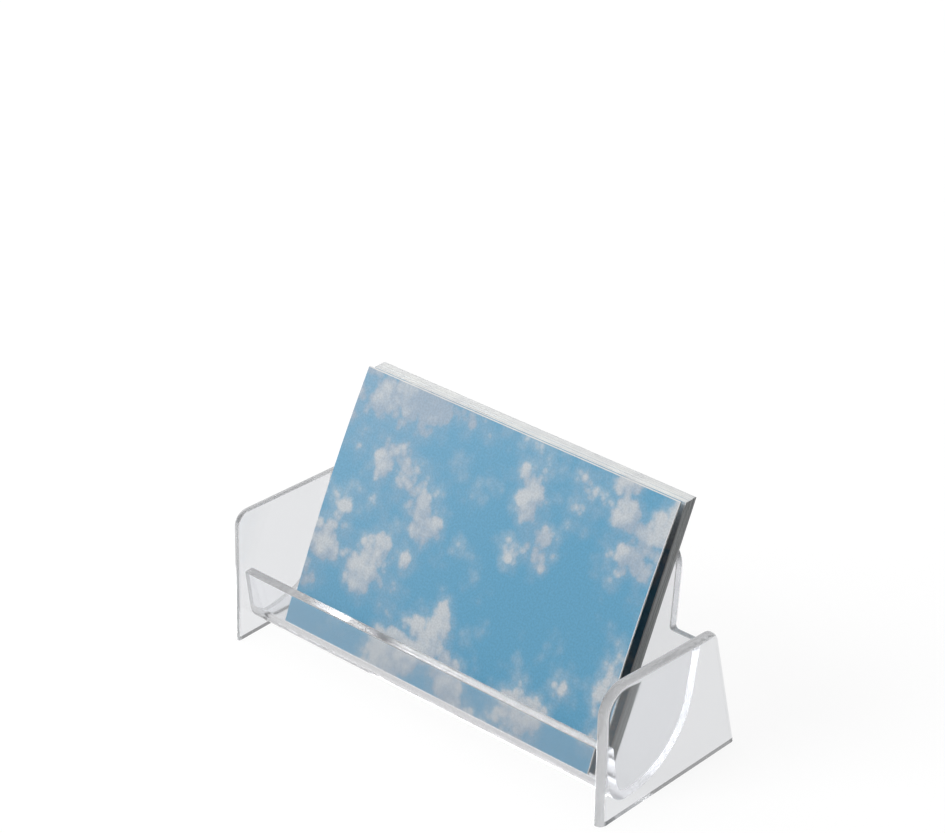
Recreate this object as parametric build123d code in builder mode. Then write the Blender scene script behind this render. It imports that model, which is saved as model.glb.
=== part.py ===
from build123d import *
import math
import os

# Desk stand for business cards, made of clear plastic.
# X runs along the cards, -Y is the front, +Z is up, the table is at Z = 0.

# Cards
card_width = 85.0
card_height = 55.0
card_thick = 0.3
card_air = 0.02
rear_cards = 8
stack_shift = 1.7
rear_lean = 29.73
fan_step = 0.175
card_slip = 0.04
slip_turn = 140.0
front_bow = 4.1

# Room left where a card meets the plastic or another card
rest_gap = 0.25
pack_gap = 0.5
lean_gap = 0.25
top_gap = 1.5

# Side cheeks
inner_width = 100.0
cheek_wall = 2.0
foot_depth = 39.0
front_height = 29.2
back_height = 27.4
front_rake = 2.9
back_rake = 3.9
right_corner = 6.3
left_corner = 3.6
back_corner = 3.0
rim_round = 1.5
inner_round = 0.3

# Trough: lip, front corner, floor, hollow back and tongue
trough_wall = 2.1
floor_height = 4.5
floor_back = 10.2
floor_flat = 0.9
corner_radius = 2.6
lip_lean = 3.0
lip_height = 15.45
back_radius = 17.2
back_lean = 15.5
tongue_height = 43.95
shoulder_width = 5.3
tip_inset = 1.25
tongue_corner = 5.0
shoulder_round = 0.8
seat_turn = 19.0
edge_round = 0.3
bond_line = 0.05

inner_half = inner_width / 2
trough_half = inner_half - bond_line
tongue_half = inner_half - shoulder_width
tip_half = tongue_half - tip_inset
lip = math.radians(lip_lean)
back = math.radians(back_lean)
rear = math.radians(rear_lean)
bow = math.radians(front_bow)
seat = math.radians(seat_turn)

# Trough section, front to back, as points in Y and Z on the side that holds the cards
corner_y = -floor_back - floor_flat
corner_z = floor_height + corner_radius
hollow_y = -floor_back
hollow_z = floor_height + back_radius
lip_foot = (corner_y - corner_radius * math.cos(lip), corner_z - corner_radius * math.sin(lip))
lip_top = (lip_foot[0] - (lip_height - lip_foot[1]) * math.tan(lip), lip_height)
back_foot = (hollow_y + back_radius * math.cos(back), hollow_z - back_radius * math.sin(back))
back_top = (back_foot[0] + (tongue_height - back_foot[1]) * math.tan(back), tongue_height)

# The same section on the outer side, one wall away
lip_out = (-trough_wall * math.cos(lip), -trough_wall * math.sin(lip))
back_out = (trough_wall * math.cos(back), -trough_wall * math.sin(back))
lip_foot_out = (lip_foot[0] + lip_out[0], lip_foot[1] + lip_out[1])
lip_top_out = (lip_top[0] + lip_out[0], lip_top[1] + lip_out[1])
back_foot_out = (back_foot[0] + back_out[0], back_foot[1] + back_out[1])
back_top_out = (back_top[0] + back_out[0], back_top[1] + back_out[1])
floor_out = floor_height - trough_wall

# Shoulders level with the cheeks' top edge where the back meets it
top_front_y = -foot_depth / 2 + front_rake
top_back_y = foot_depth / 2 - back_rake
top_slope = (back_height - front_height) / (top_back_y - top_front_y)
line_height = front_height + top_slope * (back_foot[0] - top_front_y)
shoulder_rise = (line_height - back_foot[1]) / (1 - top_slope * math.tan(back))
shoulder_up = shoulder_rise / math.cos(back)
shoulder_height = back_foot[1] + shoulder_rise
tongue_up = (tongue_height - back_foot[1]) / math.cos(back)
over_up = tongue_up + trough_wall
over_half = inner_half + trough_wall
over_start = tip_half - 2 * tongue_corner

# Rear cards lean on the tongue's top edge and stand on the hollow floor
rear_up = (math.sin(rear), math.cos(rear))
rear_front = (-math.cos(rear), math.sin(rear))
lean_point = (back_top[0] + lean_gap * rear_front[0], back_top[1] + lean_gap * rear_front[1])
to_hollow = (hollow_y - lean_point[0], hollow_z - lean_point[1])
along = to_hollow[0] * rear_up[0] + to_hollow[1] * rear_up[1]
across = to_hollow[0] * rear_front[0] + to_hollow[1] * rear_front[1]
slide_down = along - math.sqrt((back_radius - pack_gap) ** 2 - across ** 2)
rear_foot = (lean_point[0] + slide_down * rear_up[0], lean_point[1] + slide_down * rear_up[1])
card_pitch = card_thick + card_air
pack_thick = rear_cards * card_pitch - card_air
pack_face = (rear_foot[0] + pack_thick * rear_front[0], rear_foot[1] + pack_thick * rear_front[1])

# Front card stands in the front corner, its bowed top resting near the rear cards
bow_radius = card_height / (2 * bow)
bow_chord = 2 * bow_radius * math.sin(bow)
front_foot = (
    corner_y - (corner_radius - rest_gap) * math.cos(seat),
    corner_z - (corner_radius - rest_gap) * math.sin(seat),
)
foot_gap_y = front_foot[0] - pack_face[0]
foot_gap_z = front_foot[1] - pack_face[1]
foot_gap = foot_gap_y * rear_front[0] + foot_gap_z * rear_front[1]
front = rear + math.asin((foot_gap - card_thick - top_gap) / bow_chord)
front_lean = math.degrees(front)
bow_back = bow_radius * math.cos(bow)
bow_centre = (
    front_foot[0] + bow_chord / 2 * math.sin(front) + bow_back * math.cos(front),
    front_foot[1] + bow_chord / 2 * math.cos(front) - bow_back * math.sin(front),
)
bow_start = 180 - front_lean - front_bow
card_left = stack_shift - card_width / 2

os.makedirs("parts", exist_ok=True)

# Cheeks: trapezoid plates with two rounded top corners, the outer rim rounded over and the inner rim eased
for name, side, front_corner in (("right_cheek", 1, right_corner), ("left_cheek", -1, left_corner)):
    with BuildPart() as cheek:
        with BuildSketch(Plane.YZ.offset(side * inner_half)):
            with BuildLine():
                FilletPolyline(
                    (-foot_depth / 2, 0),
                    (top_front_y, front_height),
                    (top_back_y, back_height),
                    (foot_depth / 2, 0),
                    radius=[front_corner, back_corner],
                )
                Line((foot_depth / 2, 0), (-foot_depth / 2, 0))
            make_face()
        extrude(amount=side * cheek_wall)
        outer_face = cheek.faces().sort_by(Axis.X, reverse=side < 0)[-1]
        fillet(outer_face.edges().sort_by(Axis.Z)[1:], rim_round)
        inner_face = cheek.faces().sort_by(Axis.X, reverse=side < 0)[0]
        fillet(inner_face.edges().sort_by(Axis.Z)[1:], inner_round)
    cheek.part.label = name
    export_step(cheek.part, f"parts/{name}.step")

# Trough: one bent panel between the cheeks, cut back at its top corners to leave a tongue that tapers upward
back_plane = Plane(
    origin=(0, back_foot[0], back_foot[1]),
    x_dir=(1, 0, 0),
    z_dir=(0, -math.cos(back), math.sin(back)),
)
with BuildPart() as card_trough:
    with BuildSketch(Plane.YZ.offset(-trough_half)):
        with BuildLine():
            Line(lip_top, lip_foot)
            CenterArc((corner_y, corner_z), corner_radius, 180 + lip_lean, 90 - lip_lean)
            Line((corner_y, floor_height), (hollow_y, floor_height))
            CenterArc((hollow_y, hollow_z), back_radius, 270, 90 - back_lean)
            Line(back_foot, back_top)
            Line(back_top, back_top_out)
            Line(back_top_out, back_foot_out)
            CenterArc((hollow_y, hollow_z), back_radius + trough_wall, 270, 90 - back_lean)
            Line((hollow_y, floor_out), (corner_y, floor_out))
            CenterArc((corner_y, corner_z), corner_radius + trough_wall, 180 + lip_lean, 90 - lip_lean)
            Line(lip_foot_out, lip_top_out)
            Line(lip_top_out, lip_top)
        make_face()
    extrude(amount=2 * trough_half)
    with BuildSketch(back_plane):
        with BuildLine():
            FilletPolyline(
                (over_half, shoulder_up),
                (tongue_half, shoulder_up),
                (tip_half, tongue_up),
                (over_start, tongue_up),
                radius=[shoulder_round, tongue_corner],
            )
            Line((over_start, tongue_up), (over_start, over_up))
            Line((over_start, over_up), (over_half, over_up))
            Line((over_half, over_up), (over_half, shoulder_up))
        make_face()
        mirror(about=Plane.YZ)
    extrude(amount=2 * trough_wall, both=True, mode=Mode.SUBTRACT)
    long_edges = card_trough.edges().filter_by(Axis.X).filter_by_position(Axis.Y, lip_top_out[0], lip_top[0])
    lip_rim = long_edges.filter_by_position(Axis.Z, lip_height - trough_wall, lip_height)
    fillet(lip_rim, edge_round)
    tongue_faces = card_trough.faces().filter_by(Axis(back_plane.origin, back_plane.z_dir))
    tongue_rim = tongue_faces.edges().filter_by_position(
        Axis.Z, shoulder_height - trough_wall, tongue_height + trough_wall
    )
    fillet(tongue_rim, edge_round)
card_trough.part.label = "card_trough"
export_step(card_trough.part, "parts/card_trough.step")

# Front card: a bowed sheet, its middle standing forward of its two long edges
with BuildPart() as card_01:
    with BuildSketch(Plane.YZ.offset(card_left)):
        with BuildLine():
            face_arc = CenterArc(bow_centre, bow_radius, bow_start, 2 * front_bow)
            rear_arc = CenterArc(bow_centre, bow_radius - card_thick, bow_start, 2 * front_bow)
            Line(face_arc @ 0, rear_arc @ 0)
            Line(face_arc @ 1, rear_arc @ 1)
        make_face()
    extrude(amount=card_width)
card_01.part.label = "card_01"
export_step(card_01.part, "parts/card_01.step")

# Rear cards: flat sheets on the hollow floor, counted from the front one back, each a step above the one before
for number in range(2, rear_cards + 2):
    places_front = rear_cards + 1 - number
    step_front = places_front * card_pitch
    slip = math.radians(number * slip_turn)
    slip_x = card_slip * math.sin(slip)
    slip_up = card_slip * (1 + math.cos(slip)) - places_front * fan_step
    card_plane = Plane(
        origin=(
            stack_shift + slip_x,
            rear_foot[0] + step_front * rear_front[0] + slip_up * rear_up[0],
            rear_foot[1] + step_front * rear_front[1] + slip_up * rear_up[1],
        ),
        x_dir=(1, 0, 0),
        z_dir=(0, rear_front[0], rear_front[1]),
    )
    with BuildPart() as rear_card:
        with BuildSketch(card_plane):
            Rectangle(card_width, card_height, align=(Align.CENTER, Align.MIN))
        extrude(amount=card_thick)
    rear_card.part.label = f"card_{number:02d}"
    export_step(rear_card.part, f"parts/card_{number:02d}.step")
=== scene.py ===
import math

import bpy
from mathutils import Matrix, Vector

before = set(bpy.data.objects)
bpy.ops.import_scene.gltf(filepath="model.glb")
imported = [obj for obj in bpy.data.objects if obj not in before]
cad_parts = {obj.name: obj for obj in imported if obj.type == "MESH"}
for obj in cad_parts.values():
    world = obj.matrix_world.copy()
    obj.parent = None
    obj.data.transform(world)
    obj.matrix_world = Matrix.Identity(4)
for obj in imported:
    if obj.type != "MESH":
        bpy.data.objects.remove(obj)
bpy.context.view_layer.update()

mm = 0.001
smooth = {"interpolation_type": "SMOOTHSTEP"}
onSheet = {"noise_dimensions": "2D"}


# one sRGB hex value to the linear colour that a shader takes
def hexColour(code):
    channels = [int(code[i:i + 2], 16) / 255 for i in (1, 3, 5)]
    return tuple(c / 12.92 if c <= 0.04045 else ((c + 0.055) / 1.055) ** 2.4 for c in channels) + (1.0,)


# adds a node, sets its properties and inputs, and links what feeds it; i0, i1 ... mean inputs by place
def addNode(tree, kind, props=None, **inputs):
    node = tree.nodes.new(kind)
    for name, value in (props or {}).items():
        setattr(node, name, value)
    for key, value in inputs.items():
        byPlace = key[0] == "i" and key[1:].isdigit()
        socket = node.inputs[int(key[1:])] if byPlace else node.inputs[key.replace("_", " ")]
        if isinstance(value, bpy.types.NodeSocket):
            tree.links.new(value, socket)
        else:
            socket.default_value = value
    return node


def newMaterial(name):
    material = bpy.data.materials.new(name)
    material.use_nodes = True
    material.node_tree.nodes.clear()
    return material, material.node_tree


def dress(nodeName, material):
    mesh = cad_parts[nodeName].data
    mesh.materials.clear()
    mesh.materials.append(material)


# moulded clear acrylic: nearly colourless, cool grey where the eye looks along the sheet, faint flow ripple
# and handling haze
acrylic = {"tint": "#fafbfd", "ior": 1.49, "shadow": "#fbfcfc", "absorb": "#c2c1c6", "density": 2.5,
           "rough": (0.05, 0.11), "hazeSize": 9 * mm, "hazeFrom": (0.35, 0.7),
           "rippleSize": 18 * mm, "rippleDepth": 0.005 * mm}


def makeAcrylic():
    material, tree = newMaterial("acrylicMoulded")
    where = addNode(tree, "ShaderNodeTexCoord")
    haze = addNode(tree, "ShaderNodeTexNoise", Vector=where.outputs["Object"], Scale=1 / acrylic["hazeSize"],
                   Detail=3.0)
    rough = addNode(tree, "ShaderNodeMapRange", Value=haze.outputs[0],
                    From_Min=acrylic["hazeFrom"][0], From_Max=acrylic["hazeFrom"][1],
                    To_Min=acrylic["rough"][0], To_Max=acrylic["rough"][1])
    flow = addNode(tree, "ShaderNodeTexNoise", Vector=where.outputs["Object"], Scale=1 / acrylic["rippleSize"],
                   Detail=1.0)
    ripple = addNode(tree, "ShaderNodeBump", Strength=1.0, Distance=acrylic["rippleDepth"], Height=flow.outputs[0])
    path = addNode(tree, "ShaderNodeLightPath")
    clear = addNode(tree, "ShaderNodeBsdfPrincipled", Base_Color=hexColour(acrylic["tint"]), IOR=acrylic["ior"],
                    Roughness=rough.outputs[0], Transmission_Weight=1.0, Normal=ripple.outputs[0])
    lampWay = addNode(tree, "ShaderNodeBsdfTransparent", Color=hexColour(acrylic["shadow"]))
    mix = addNode(tree, "ShaderNodeMixShader", i0=path.outputs["Is Shadow Ray"], i1=clear.outputs[0],
                  i2=lampWay.outputs[0])
    inside = addNode(tree, "ShaderNodeVolumeAbsorption", Color=hexColour(acrylic["absorb"]),
                     Density=acrylic["density"])
    addNode(tree, "ShaderNodeOutputMaterial", Surface=mix.outputs[0], Volume=inside.outputs[0])
    return material


# coated card, offset printed with a sky on its face and guillotined: satin ink, a hairline of bare stock along
# the cuts, and matt cut edges streaked grey so that each card of the pack has its own tone, the grey also
# painted shade that stands for the small shadows between the stacked cards;
# sizes and steps of the print are in mm on the card, bareCut is a share of the card's box, and grain and fibre are
# drawn coarser than real ones so that they show
skyCard = {"lean": 30.07, "place": (131.0, 82.0, 0.0),
           "skyDeep": "#6cacce", "skyPale": "#8ab8d4", "deepWay": (0.5, -0.35, 0), "deepFrom": (-18.0, 34.0),
           "cloudLight": "#d2d8dd", "cloudShade": "#abbdce", "cloudSize": 30.0,
           "puffSize": 9.0, "puffDepth": 0.26, "wispSize": 3.4, "wispDepth": 0.05,
           "cover": (0.305, 0.42), "haze": (0.19, 0.41), "hazeCover": 0.42,
           "lightStep": (-1.2, 1.6, 0.0), "bulkStep": (-5.0, 7.0, 0.0), "bulkShare": 0.6, "sunnyFrom": (-0.08, 0.23),
           "grainSize": 0.42, "grainFrom": (0.3, 0.7), "inkLevel": (0.93, 1.07), "inkRough": 0.45,
           "stock": "#f0f0ee", "stockShade": "#e6e7e8", "mottleSize": 6.0, "mottleFrom": (0.35, 0.65),
           "stockRough": 0.66, "fibreSize": 0.65, "fibreStrength": 0.3, "fibreDepth": 0.01 * mm,
           # the darker cut-edge grey is painted shade between the stacked cards
           "edgeShadeDark": "#a4a8aa", "edgeLight": "#ecefef", "streakWide": 0.24 * mm, "streakLong": 26 * mm,
           "streakFrom": (0.32, 0.68), "bareCut": (0.0024, 0.0042), "faceLimit": 0.7}


# height of the cloud field at a point of the print: broad masses heaped with round puffs
def cloudField(tree, point):
    mass = addNode(tree, "ShaderNodeTexNoise", onSheet, Vector=point, Scale=1 / skyCard["cloudSize"],
                   Detail=2.0, Roughness=0.45, Distortion=0.15)
    heap = addNode(tree, "ShaderNodeTexVoronoi", {"voronoi_dimensions": "2D", "feature": "F1"}, Vector=point,
                   Scale=1 / skyCard["puffSize"], Detail=2.0, Roughness=0.5, Lacunarity=2.3)
    wisp = addNode(tree, "ShaderNodeTexNoise", onSheet, Vector=point, Scale=1 / skyCard["wispSize"],
                   Detail=4.0, Roughness=0.6)
    field = addNode(tree, "ShaderNodeMath", {"operation": "MULTIPLY_ADD"}, i0=heap.outputs["Distance"],
                    i1=-skyCard["puffDepth"], i2=mass.outputs[0])
    return addNode(tree, "ShaderNodeMath", {"operation": "MULTIPLY_ADD"}, i0=wisp.outputs[0],
                   i1=skyCard["wispDepth"], i2=field.outputs[0]).outputs[0]


# how much higher the cloud field stands here than one step nearer the light
def cloudSlope(tree, point, field, step):
    nearer = addNode(tree, "ShaderNodeVectorMath", {"operation": "ADD"}, i0=point, i1=step)
    return addNode(tree, "ShaderNodeMath", {"operation": "SUBTRACT"}, i0=field,
                   i1=cloudField(tree, nearer.outputs[0])).outputs[0]


def makeSkyCard():
    material, tree = newMaterial("coatedCardSky")
    where = addNode(tree, "ShaderNodeTexCoord")
    lean = math.radians(skyCard["lean"])
    onCard = addNode(tree, "ShaderNodeMapping", Vector=where.outputs["Object"], Location=skyCard["place"],
                     Rotation=(lean - math.pi / 2, 0, 0), Scale=(1 / mm, 1 / mm, 1 / mm)).outputs[0]
    # sky, deeper to the right, with clouds lit from the upper left and shaded below
    field = cloudField(tree, onCard)
    slope = addNode(tree, "ShaderNodeMath", {"operation": "MULTIPLY_ADD"},
                    i0=cloudSlope(tree, onCard, field, skyCard["bulkStep"]), i1=skyCard["bulkShare"],
                    i2=cloudSlope(tree, onCard, field, skyCard["lightStep"]))
    sunny = addNode(tree, "ShaderNodeMapRange", smooth, Value=slope.outputs[0],
                    From_Min=skyCard["sunnyFrom"][0], From_Max=skyCard["sunnyFrom"][1])
    body = addNode(tree, "ShaderNodeMapRange", smooth, Value=field,
                   From_Min=skyCard["cover"][0], From_Max=skyCard["cover"][1])
    haze = addNode(tree, "ShaderNodeMapRange", smooth, Value=field, From_Min=skyCard["haze"][0],
                   From_Max=skyCard["haze"][1], To_Max=skyCard["hazeCover"])
    cover = addNode(tree, "ShaderNodeMath", {"operation": "MAXIMUM"}, i0=body.outputs[0], i1=haze.outputs[0])
    across = addNode(tree, "ShaderNodeVectorMath", {"operation": "DOT_PRODUCT"}, i0=onCard, i1=skyCard["deepWay"])
    deep = addNode(tree, "ShaderNodeMapRange", Value=across.outputs["Value"],
                   From_Min=skyCard["deepFrom"][0], From_Max=skyCard["deepFrom"][1])
    sky = addNode(tree, "ShaderNodeMix", {"data_type": "RGBA"}, i0=deep.outputs[0],
                  i6=hexColour(skyCard["skyPale"]), i7=hexColour(skyCard["skyDeep"]))
    cloud = addNode(tree, "ShaderNodeMix", {"data_type": "RGBA"}, i0=sunny.outputs[0],
                    i6=hexColour(skyCard["cloudShade"]), i7=hexColour(skyCard["cloudLight"]))
    picture = addNode(tree, "ShaderNodeMix", {"data_type": "RGBA"}, i0=cover.outputs[0], i6=sky.outputs[2],
                      i7=cloud.outputs[2])
    grain = addNode(tree, "ShaderNodeTexNoise", onSheet, Vector=onCard, Scale=1 / skyCard["grainSize"], Detail=1.0)
    inkLevel = addNode(tree, "ShaderNodeMapRange", Value=grain.outputs[0],
                       From_Min=skyCard["grainFrom"][0], From_Max=skyCard["grainFrom"][1],
                       To_Min=skyCard["inkLevel"][0], To_Max=skyCard["inkLevel"][1])
    ink = addNode(tree, "ShaderNodeVectorMath", {"operation": "SCALE"}, i0=picture.outputs[2],
                  Scale=inkLevel.outputs[0])
    # bare stock on the back and in a hairline along the upper and right cuts
    mottle = addNode(tree, "ShaderNodeTexNoise", Vector=onCard, Scale=1 / skyCard["mottleSize"], Detail=6.0)
    stockTone = addNode(tree, "ShaderNodeMapRange", Value=mottle.outputs[0],
                        From_Min=skyCard["mottleFrom"][0], From_Max=skyCard["mottleFrom"][1])
    stock = addNode(tree, "ShaderNodeMix", {"data_type": "RGBA"}, i0=stockTone.outputs[0],
                    i6=hexColour(skyCard["stockShade"]), i7=hexColour(skyCard["stock"]))
    facing = addNode(tree, "ShaderNodeVectorMath", {"operation": "DOT_PRODUCT"}, i0=where.outputs["Normal"],
                     i1=(0, -math.cos(lean), math.sin(lean)))
    front = addNode(tree, "ShaderNodeMath", {"operation": "GREATER_THAN"}, i0=facing.outputs["Value"],
                    i1=skyCard["faceLimit"])
    inBox = addNode(tree, "ShaderNodeSeparateXYZ", Vector=where.outputs["Generated"])
    offRight = addNode(tree, "ShaderNodeMath", {"operation": "LESS_THAN"}, i0=inBox.outputs["X"],
                       i1=1 - skyCard["bareCut"][0])
    offTop = addNode(tree, "ShaderNodeMath", {"operation": "LESS_THAN"}, i0=inBox.outputs["Z"],
                     i1=1 - skyCard["bareCut"][1])
    inside = addNode(tree, "ShaderNodeMath", {"operation": "MULTIPLY"}, i0=offRight.outputs[0], i1=offTop.outputs[0])
    printed = addNode(tree, "ShaderNodeMath", {"operation": "MULTIPLY"}, i0=inside.outputs[0], i1=front.outputs[0])
    sides = addNode(tree, "ShaderNodeMix", {"data_type": "RGBA"}, i0=printed.outputs[0], i6=stock.outputs[2],
                    i7=ink.outputs[0])
    # cut edges, streaked along the cards in random tones and greyer than the stock as painted shade between the cards
    onPack = addNode(tree, "ShaderNodeMapping", {"vector_type": "TEXTURE"}, Vector=where.outputs["Object"],
                     Rotation=(-lean, 0, 0),
                     Scale=(skyCard["streakLong"], skyCard["streakWide"], skyCard["streakLong"]))
    streak = addNode(tree, "ShaderNodeTexNoise", Vector=onPack.outputs[0], Scale=1.0, Detail=1.0)
    edgeTone = addNode(tree, "ShaderNodeMapRange", Value=streak.outputs[0],
                       From_Min=skyCard["streakFrom"][0], From_Max=skyCard["streakFrom"][1])
    edge = addNode(tree, "ShaderNodeMix", {"data_type": "RGBA"}, i0=edgeTone.outputs[0],
                   i6=hexColour(skyCard["edgeShadeDark"]), i7=hexColour(skyCard["edgeLight"]))
    either = addNode(tree, "ShaderNodeMath", {"operation": "ABSOLUTE"}, i0=facing.outputs["Value"])
    onFace = addNode(tree, "ShaderNodeMath", {"operation": "GREATER_THAN"}, i0=either.outputs[0],
                     i1=skyCard["faceLimit"])
    colour = addNode(tree, "ShaderNodeMix", {"data_type": "RGBA"}, i0=onFace.outputs[0], i6=edge.outputs[2],
                     i7=sides.outputs[2])
    rough = addNode(tree, "ShaderNodeMapRange", Value=printed.outputs[0], To_Min=skyCard["stockRough"],
                    To_Max=skyCard["inkRough"])
    fibre = addNode(tree, "ShaderNodeTexNoise", Vector=onCard, Scale=1 / skyCard["fibreSize"], Detail=3.0)
    tooth = addNode(tree, "ShaderNodeBump", Strength=skyCard["fibreStrength"], Distance=skyCard["fibreDepth"],
                    Height=fibre.outputs[0])
    shader = addNode(tree, "ShaderNodeBsdfPrincipled", Base_Color=colour.outputs[2], Roughness=rough.outputs[0],
                     Normal=tooth.outputs[0])
    addNode(tree, "ShaderNodeOutputMaterial", Surface=shader.outputs[0])
    return material


acrylicMoulded = makeAcrylic()
coatedCardSky = makeSkyCard()
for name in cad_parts:
    dress(name, coatedCardSky if name.startswith("card_0") else acrylicMoulded)
print("materials on", len(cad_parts), "pieces")

# studio: white sweep, the right side of the room dim; what the clear sheets show of floor and room depends on how
# often the light turned within them, at levels set against the photo and not those of a real room
studio = {"floorSize": 8.0, "floorDrop": 0.1 * mm, "floorColour": "#616161",
          "floorSeen": 0.90, "floorThrough": 0.73, "floorTurned": 0.56,
          "guidedLevel": (0.68, 2.8), "guidedFaces": (3.0, 6.0), "guidedTurns": (12.0, 18.0),
          "guidedSide": (-0.35, -0.55), "horizonLevel": 0.6, "ceilingLevel": 0.12, "horizonBand": (0.05, 0.30),
          "ambientLevel": (0.02, 0.30), "ambientFrom": (-0.2, 0.6), "brightSide": (-0.8, 0.5, 0.33)}
noTurn = 0.5    # depths count whole turns, so this parts none from one


# level that light guided along a sheet shows where it comes out, higher the more faces it has crossed
def guidedGlow(tree, path):
    return addNode(tree, "ShaderNodeMapRange", smooth, Value=path.outputs["Transmission Depth"],
                   From_Min=studio["guidedFaces"][0], From_Max=studio["guidedFaces"][1],
                   To_Min=studio["guidedLevel"][0], To_Max=studio["guidedLevel"][1]).outputs[0]


# 1 for light that has met no matt surface yet, so that the glow of floor and room doesn't light the cards
def unspentLight(tree, path):
    return addNode(tree, "ShaderNodeMath", {"operation": "LESS_THAN"}, i0=path.outputs["Diffuse Depth"],
                   i1=noTurn).outputs[0]


def makeFloor():
    half = studio["floorSize"] / 2
    mesh = bpy.data.meshes.new("floor")
    mesh.from_pydata([(-half, -half, 0), (half, -half, 0), (half, half, 0), (-half, half, 0)], [], [(0, 1, 2, 3)])
    floor = bpy.data.objects.new("floor", mesh)
    floor.location.z = -studio["floorDrop"]
    bpy.context.scene.collection.objects.link(floor)
    material, tree = newMaterial("paperSweep")
    path = addNode(tree, "ShaderNodeLightPath")
    through = addNode(tree, "ShaderNodeMath", {"operation": "MAXIMUM"}, i0=path.outputs["Is Glossy Ray"],
                      i1=path.outputs["Is Transmission Ray"])
    # a face mirrors the white floor and a sheet shows it a little greyer
    mirrored = addNode(tree, "ShaderNodeMath", {"operation": "LESS_THAN"}, i0=path.outputs["Transmission Depth"],
                       i1=noTurn)
    flatLevel = addNode(tree, "ShaderNodeMapRange", Value=mirrored.outputs[0], To_Min=studio["floorThrough"],
                        To_Max=studio["floorSeen"])
    # light turned within bends and edges gets a darker floor, as if from the shade under the stand
    turns = addNode(tree, "ShaderNodeMath", {"operation": "MINIMUM"}, i0=path.outputs["Glossy Depth"],
                    i1=path.outputs["Transmission Depth"])
    turned = addNode(tree, "ShaderNodeMath", {"operation": "GREATER_THAN"}, i0=turns.outputs[0], i1=noTurn)
    nearLevel = addNode(tree, "ShaderNodeMapRange", Value=turned.outputs[0], To_Min=flatLevel.outputs[0],
                        To_Max=studio["floorTurned"])
    seenLevel = addNode(tree, "ShaderNodeMapRange", smooth, Value=path.outputs["Glossy Depth"],
                        From_Min=studio["guidedTurns"][0], From_Max=studio["guidedTurns"][1],
                        To_Min=nearLevel.outputs[0], To_Max=guidedGlow(tree, path))
    throughGlow = addNode(tree, "ShaderNodeMath", {"operation": "MULTIPLY"}, i0=through.outputs[0],
                          i1=seenLevel.outputs[0])
    glow = addNode(tree, "ShaderNodeMath", {"operation": "MULTIPLY_ADD"}, i0=path.outputs["Is Camera Ray"],
                   i1=studio["floorSeen"], i2=throughGlow.outputs[0])
    glow = addNode(tree, "ShaderNodeMath", {"operation": "MULTIPLY"}, i0=glow.outputs[0], i1=unspentLight(tree, path))
    paper = addNode(tree, "ShaderNodeBsdfDiffuse", Color=hexColour(studio["floorColour"]))
    light = addNode(tree, "ShaderNodeEmission", Strength=glow.outputs[0])
    both = addNode(tree, "ShaderNodeAddShader", i0=paper.outputs[0], i1=light.outputs[0])
    addNode(tree, "ShaderNodeOutputMaterial", Surface=both.outputs[0])
    mesh.materials.append(material)


# pale panels of the room that the clear sheets show; edge gives the cosines where a panel fades out
panels = [
    {"towards": (-0.60, 0.78, 0.20), "edge": (0.86, 0.95), "level": 0.45},
    {"towards": (-0.97, 0.10, 0.15), "edge": (0.80, 0.92), "level": 1.0},
    {"towards": (0.60, 0.60, 0.53), "edge": (0.50, 0.88), "level": 0.8},
    {"towards": (0.45, 0.35, 0.82), "edge": (0.80, 0.93), "level": 0.8},
]
lipPanel = {"towards": (-0.60, 0.78, 0.20), "edge": (0.80, 0.92), "level": 8.0, "turns": (4.5, 8.5)}
window = {"towards": (-0.631, 0.4985, 0.5955), "edge": (0.99988, 0.99997), "level": 10.0}


def panelGlow(tree, where, panel):
    towards = addNode(tree, "ShaderNodeVectorMath", {"operation": "DOT_PRODUCT"}, i0=where.outputs["Generated"],
                      i1=Vector(panel["towards"]).normalized())
    return addNode(tree, "ShaderNodeMapRange", smooth, Value=towards.outputs["Value"],
                   From_Min=panel["edge"][0], From_Max=panel["edge"][1], To_Max=panel["level"]).outputs[0]


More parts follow.
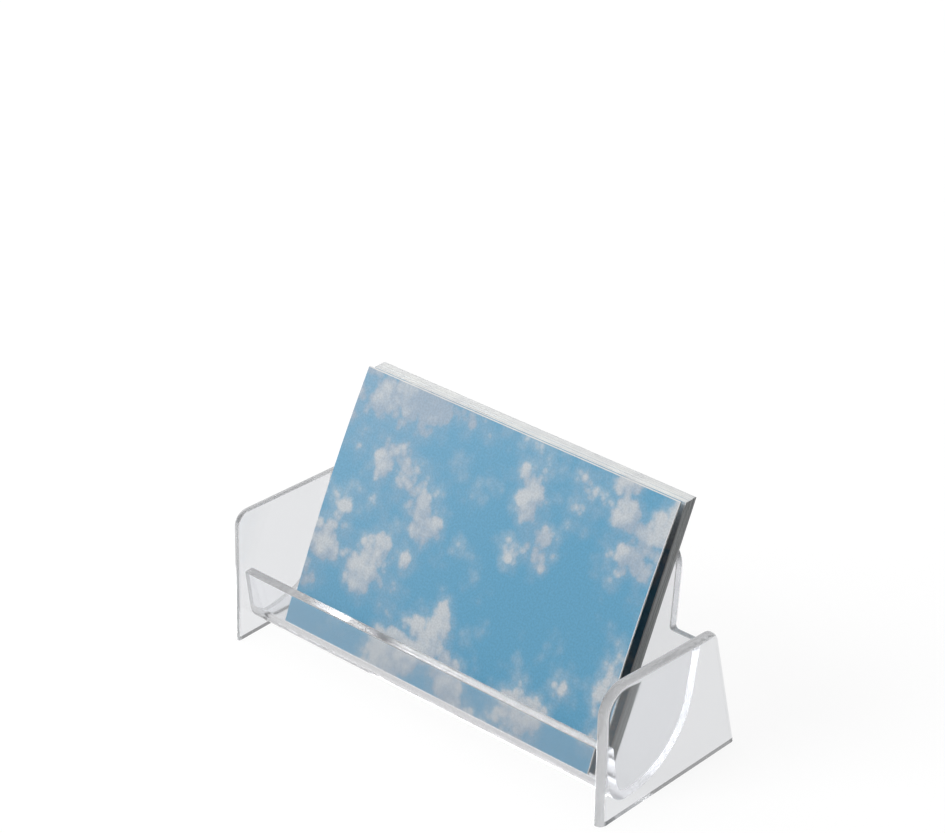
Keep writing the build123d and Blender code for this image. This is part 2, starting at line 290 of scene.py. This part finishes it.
def makeWorld():
    world = bpy.data.worlds.new("studioRoom")
    bpy.context.scene.world = world
    world.use_nodes = True
    tree = world.node_tree
    tree.nodes.clear()
    where = addNode(tree, "ShaderNodeTexCoord")
    path = addNode(tree, "ShaderNodeLightPath")
    way = addNode(tree, "ShaderNodeSeparateXYZ", Vector=where.outputs["Generated"])
    # soft light on cards and floor, from behind on the left
    side = addNode(tree, "ShaderNodeVectorMath", {"operation": "DOT_PRODUCT"}, i0=where.outputs["Generated"],
                   i1=Vector(studio["brightSide"]).normalized())
    ambient = addNode(tree, "ShaderNodeMapRange", smooth, Value=side.outputs["Value"],
                      From_Min=studio["ambientFrom"][0], From_Max=studio["ambientFrom"][1],
                      To_Min=studio["ambientLevel"][0], To_Max=studio["ambientLevel"][1])
    # the room as the clear sheets show it
    room = addNode(tree, "ShaderNodeMapRange", smooth, Value=way.outputs["Z"],
                   From_Min=studio["horizonBand"][0], From_Max=studio["horizonBand"][1],
                   To_Min=studio["horizonLevel"], To_Max=studio["ceilingLevel"])
    for panel in panels:
        room = addNode(tree, "ShaderNodeMath", {"operation": "MAXIMUM"}, i0=room.outputs[0],
                       i1=panelGlow(tree, where, panel))
    # a bright wall on the left that only light guided along a sheet meets
    guided = addNode(tree, "ShaderNodeMapRange", smooth, Value=path.outputs["Glossy Depth"],
                     From_Min=studio["guidedTurns"][0], From_Max=studio["guidedTurns"][1])
    wall = addNode(tree, "ShaderNodeMapRange", smooth, Value=way.outputs["X"],
                   From_Min=studio["guidedSide"][0], From_Max=studio["guidedSide"][1], To_Max=guidedGlow(tree, path))
    wall = addNode(tree, "ShaderNodeMath", {"operation": "MULTIPLY"}, i0=wall.outputs[0], i1=guided.outputs[0])
    room = addNode(tree, "ShaderNodeMath", {"operation": "MAXIMUM"}, i0=room.outputs[0], i1=wall.outputs[0])
    # a bright panel that only light turned a few times within a sheet meets, for the lip's top edge
    above = addNode(tree, "ShaderNodeMath", {"operation": "GREATER_THAN"}, i0=path.outputs["Glossy Depth"],
                    i1=lipPanel["turns"][0])
    below = addNode(tree, "ShaderNodeMath", {"operation": "LESS_THAN"}, i0=path.outputs["Glossy Depth"],
                    i1=lipPanel["turns"][1])
    pane = addNode(tree, "ShaderNodeMath", {"operation": "MULTIPLY"}, i0=panelGlow(tree, where, lipPanel),
                   i1=above.outputs[0])
    pane = addNode(tree, "ShaderNodeMath", {"operation": "MULTIPLY"}, i0=pane.outputs[0], i1=below.outputs[0])
    room = addNode(tree, "ShaderNodeMath", {"operation": "MAXIMUM"}, i0=room.outputs[0], i1=pane.outputs[0])
    # a small bright window behind on the left, mirrored in the lip
    mirrored = addNode(tree, "ShaderNodeMath", {"operation": "GREATER_THAN"}, i0=path.outputs["Is Glossy Ray"],
                       i1=path.outputs["Is Transmission Ray"])
    room = addNode(tree, "ShaderNodeMath", {"operation": "MULTIPLY_ADD"}, i0=panelGlow(tree, where, window),
                   i1=mirrored.outputs[0], i2=room.outputs[0])
    # white behind the object, the room in its clear sheets, the soft light elsewhere
    seen = addNode(tree, "ShaderNodeMath", {"operation": "MAXIMUM"}, i0=path.outputs["Is Camera Ray"],
                   i1=path.outputs["Is Glossy Ray"])
    seen = addNode(tree, "ShaderNodeMath", {"operation": "MAXIMUM"}, i0=seen.outputs[0],
                   i1=path.outputs["Is Transmission Ray"])
    seen = addNode(tree, "ShaderNodeMath", {"operation": "MULTIPLY"}, i0=seen.outputs[0], i1=unspentLight(tree, path))
    strength = addNode(tree, "ShaderNodeMapRange", Value=seen.outputs[0], To_Min=ambient.outputs[0],
                       To_Max=room.outputs[0])
    strength = addNode(tree, "ShaderNodeMath", {"operation": "MAXIMUM"}, i0=strength.outputs[0],
                       i1=path.outputs["Is Camera Ray"])
    back = addNode(tree, "ShaderNodeBackground", Color=(1, 1, 1, 1), Strength=strength.outputs[0])
    addNode(tree, "ShaderNodeOutputWorld", Surface=back.outputs[0])


lampTarget = (0, 0, 20 * mm)
lamps = [
    {"name": "keyBox", "place": (-0.70, -0.85, 0.95), "size": (0.9, 0.9), "power": 17.8},    # the cards' faces
    {"name": "topBox", "place": (-0.25, 0.30, 1.30), "size": (1.1, 1.1), "power": 2.8},    # the pack's top
    {"name": "leftBox", "place": (-1.20, 0.15, 0.45), "size": (1.4, 0.8), "power": 5.0},
    {"name": "backBox", "place": (-0.10, 1.30, 0.16), "size": (1.2, 0.25), "power": 9.0},    # the pack's back
    {"name": "fillBox", "place": (1.20, 0.125, 0.24), "size": (0.12, 0.12), "power": 2.1},    # the pack's right side
]


def makeLamps():
    for lamp in lamps:
        data = bpy.data.lights.new(lamp["name"], "AREA")
        data.shape = "RECTANGLE"
        data.size, data.size_y = lamp["size"]
        data.energy = lamp["power"]
        light = bpy.data.objects.new(lamp["name"], data)
        light.location = lamp["place"]
        light.rotation_euler = (Vector(lampTarget) - Vector(lamp["place"])).to_track_quat("-Z", "Y").to_euler()
        # the lamps light the cards and the floor, the room's panels show in the clear sheets and their edges
        light.visible_glossy = False
        light.visible_transmission = False
        bpy.context.scene.collection.objects.link(light)


makeFloor()
makeWorld()
makeLamps()
print("studio ready")

# camera: long lens, a little rolled, from the right and above
view = {"azimuth": 46.27, "elevation": 29.50, "roll": 3.56, "place": (446.66 * mm, -423.97 * mm, 411.12 * mm),
        "focal": 139.26, "sensor": 36.0, "nearest": 10 * mm}


def makeCamera():
    data = bpy.data.cameras.new("camera")
    data.sensor_fit = "HORIZONTAL"
    data.sensor_width = view["sensor"]
    data.lens = view["focal"]
    data.clip_start = view["nearest"]
    camera = bpy.data.objects.new("camera", data)
    turn = Matrix.Rotation(math.radians(view["azimuth"]), 4, "Z")
    tilt = Matrix.Rotation(math.radians(90 - view["elevation"]), 4, "X")
    roll = Matrix.Rotation(math.radians(-view["roll"]), 4, "Z")
    camera.matrix_world = Matrix.Translation(Vector(view["place"])) @ turn @ tilt @ roll
    bpy.context.scene.collection.objects.link(camera)
    bpy.context.scene.camera = camera


makeCamera()
scene = bpy.context.scene
scene.view_settings.view_transform = "Standard"
# light is guided along the clear sheets over many reflections before it leaves them
scene.cycles.max_bounces = 64
scene.cycles.glossy_bounces = 48
scene.cycles.transmission_bounces = 48
scene.cycles.transparent_max_bounces = 32
print("camera set")
